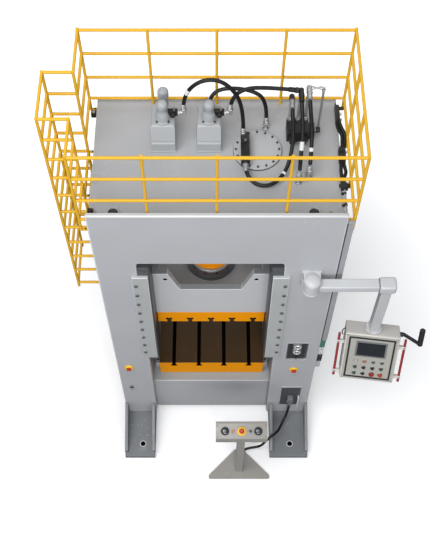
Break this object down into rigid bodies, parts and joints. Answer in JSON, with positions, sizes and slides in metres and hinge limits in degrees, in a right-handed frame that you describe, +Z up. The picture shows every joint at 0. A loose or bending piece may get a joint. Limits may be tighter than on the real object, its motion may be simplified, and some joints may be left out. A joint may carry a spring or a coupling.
{
  "type": "hydraulic press",
  "caption": "Portal-frame hydraulic press with a guided slide, T-slot tables, railed deck with hoses, caged ladder, swinging control pendant and two-hand console.",
  "frame": {"origin": "on the floor, midway between the four anchor holes", "axes": "+X to the operator's right, +Y away from the operator, +Z up"},
  "size_m": [3.1788, 2.577, 4.777],
  "materials": {
    "frame_grey": "satin",
    "deck_grey": "satin",
    "plate_orange": "satin",
    "bolster_steel": "satin",
    "guide_dark": "oiled",
    "gib_grey": "satin",
    "screw_steel": "satin",
    "rod_chrome": "polished",
    "flange_dark": "satin",
    "gland_orange": "gloss",
    "rail_yellow": "satin",
    "housing_grey": "satin",
    "valve_black": "satin",
    "fitting_steel": "satin",
    "hose_black": "matte",
    "services_dark": "satin",
    "panel_dark": "satin",
    "estop_yellow": "gloss",
    "stop_red": "gloss",
    "knob_black": "matte",
    "plug_grey": "matte",
    "cord_black": "matte",
    "arm_grey": "satin",
    "pendant_grey": "satin",
    "gasket_black": "matte",
    "lamp_green": "gloss",
    "button_green": "gloss",
    "button_black": "gloss",
    "release_orange": "gloss",
    "handle_red": "gloss",
    "lever_black": "matte",
    "console_grey": "satin",
    "palm_steel": "satin",
    "lamp_orange": "gloss"
  },
  "bodies": {
    "frame": {"front_plate": "frame_grey", "rear_plate": "frame_grey", "side_walls": "frame_grey", "crown_floor": "frame_grey", "deck_plate": "deck_grey", "feet": "frame_grey", "bed": "frame_grey", "bolster": "bolster_steel", "bolster_clamps": "guide_dark", "guide_rails": "guide_dark", "gib_plates": "gib_grey", "cap_screws": "screw_steel", "cylinder": "frame_grey", "gland_ring": "gland_orange", "railing": "rail_yellow", "ladder_cage": "rail_yellow", "pump_housings": "housing_grey", "housing_caps": "housing_grey", "stop_valves": "valve_black", "tank_cover": "housing_grey", "manifolds": "valve_black", "lifting_sockets": "fitting_steel", "pipe_fittings": "fitting_steel", "deck_hoses": "hose_black", "drop_hoses": "hose_black", "side_services": "services_dark", "leg_panels": "panel_dark", "estop_rings": "estop_yellow", "arm_bracket": "arm_grey", "cord_plug": "plug_grey", "control_cord": "cord_black", "console_stand": "console_grey", "console_head": "console_grey", "console_lamp": "lamp_orange"},
    "slide": {"slide_body": "frame_grey", "slide_plate": "plate_orange", "piston_rod": "rod_chrome", "rod_flange": "flange_dark"},
    "arm": {"pendant_arm": "arm_grey"},
    "pendant": {"pendant_flange": "arm_grey", "pendant_box": "pendant_grey", "pendant_panel": "gasket_black", "pendant_lamps": "lamp_green", "handle_bars": "handle_red"},
    "lever": {"pendant_lever": "lever_black"},
    "pendant_jog_up_body": {"pendant_jog_up": "button_green"},
    "pendant_jog_down_body": {"pendant_jog_down": "button_black"},
    "pendant_hold_body": {"pendant_hold": "button_black"},
    "pendant_start_body": {"pendant_start": "button_green"},
    "pendant_cycle_body": {"pendant_cycle": "button_green"},
    "pendant_reset_body": {"pendant_reset": "button_black"},
    "pendant_stop_body": {"pendant_stop": "stop_red"},
    "pendant_release_body": {"pendant_release": "release_orange"},
    "left_leg_estop_body": {"left_leg_estop": "stop_red"},
    "right_leg_estop_body": {"right_leg_estop": "stop_red"},
    "panel_knob_body": {"panel_knob": "knob_black"},
    "left_palm_button_body": {"left_palm_button": "palm_steel"},
    "right_palm_button_body": {"right_palm_button": "palm_steel"},
    "console_button_body": {"console_button": "button_black"},
    "console_estop_body": {"console_estop": "stop_red"}
  },
  "joints": [
    {"name": "slide_travel", "type": "slide", "parent": "frame", "child": "slide", "axis": [0, 0, 1], "range_m": [-0.85, 0.04]},
    {"name": "arm_swing", "type": "hinge", "parent": "frame", "child": "arm", "pos_m": [0.79, -0.75, 3.2], "axis": [0, 0, 1], "range_deg": [-90, 4]},
    {"name": "pendant_swivel", "type": "hinge", "parent": "arm", "child": "pendant", "pos_m": [1.42, -0.75, 2.42], "axis": [0, 0, 1], "range_deg": [-40, 60]},
    {"name": "lever_turn", "type": "hinge", "parent": "pendant", "child": "lever", "pos_m": [1.6785, -0.79451, 2.35516], "axis": [0.9925, -0.1219, 0], "range_deg": [-30, 30]},
    {"name": "pendant_jog_up_press", "type": "slide", "parent": "pendant", "child": "pendant_jog_up_body", "axis": [0.1076, 0.8764, -0.4695], "range_m": [0, 0.004], "stiffness_N_per_m": 400, "springref_m": -0.004},
    {"name": "pendant_jog_down_press", "type": "slide", "parent": "pendant", "child": "pendant_jog_down_body", "axis": [0.1076, 0.8764, -0.4695], "range_m": [0, 0.004], "stiffness_N_per_m": 400, "springref_m": -0.004},
    {"name": "pendant_hold_press", "type": "slide", "parent": "pendant", "child": "pendant_hold_body", "axis": [0.1076, 0.8764, -0.4695], "range_m": [0, 0.004], "stiffness_N_per_m": 400, "springref_m": -0.004},
    {"name": "pendant_start_press", "type": "slide", "parent": "pendant", "child": "pendant_start_body", "axis": [0.1076, 0.8764, -0.4695], "range_m": [0, 0.004], "stiffness_N_per_m": 400, "springref_m": -0.004},
    {"name": "pendant_cycle_press", "type": "slide", "parent": "pendant", "child": "pendant_cycle_body", "axis": [0.1076, 0.8764, -0.4695], "range_m": [0, 0.004], "stiffness_N_per_m": 400, "springref_m": -0.004},
    {"name": "pendant_reset_press", "type": "slide", "parent": "pendant", "child": "pendant_reset_body", "axis": [0.1076, 0.8764, -0.4695], "range_m": [0, 0.004], "stiffness_N_per_m": 400, "springref_m": -0.004},
    {"name": "pendant_stop_press", "type": "slide", "parent": "pendant", "child": "pendant_stop_body", "axis": [0.1076, 0.8764, -0.4695], "range_m": [0, 0.004], "stiffness_N_per_m": 400, "springref_m": -0.004},
    {"name": "pendant_release_press", "type": "slide", "parent": "pendant", "child": "pendant_release_body", "axis": [0.1076, 0.8764, -0.4695], "range_m": [0, 0.004], "stiffness_N_per_m": 400, "springref_m": -0.004},
    {"name": "left_leg_estop_press", "type": "slide", "parent": "frame", "child": "left_leg_estop_body", "axis": [0, 1, 0], "range_m": [0, 0.006]},
    {"name": "right_leg_estop_press", "type": "slide", "parent": "frame", "child": "right_leg_estop_body", "axis": [0, 1, 0], "range_m": [0, 0.006]},
    {"name": "panel_knob_turn", "type": "hinge", "parent": "frame", "child": "panel_knob_body", "pos_m": [0.787, -0.63, 1.517], "axis": [0, -1, 0], "range_deg": [-45, 45]},
    {"name": "left_palm_button_press", "type": "slide", "parent": "frame", "child": "left_palm_button_body", "axis": [0, 0.306, -0.952], "range_m": [0, 0.005], "stiffness_N_per_m": 900, "springref_m": -0.005},
    {"name": "right_palm_button_press", "type": "slide", "parent": "frame", "child": "right_palm_button_body", "axis": [0, 0.306, -0.952], "range_m": [0, 0.005], "stiffness_N_per_m": 900, "springref_m": -0.005},
    {"name": "console_button_press", "type": "slide", "parent": "frame", "child": "console_button_body", "axis": [0, 0.306, -0.952], "range_m": [0, 0.004], "stiffness_N_per_m": 900, "springref_m": -0.005},
    {"name": "console_estop_press", "type": "slide", "parent": "frame", "child": "console_estop_body", "axis": [0, 0.306, -0.952], "range_m": [0, 0.006]}
  ]
}
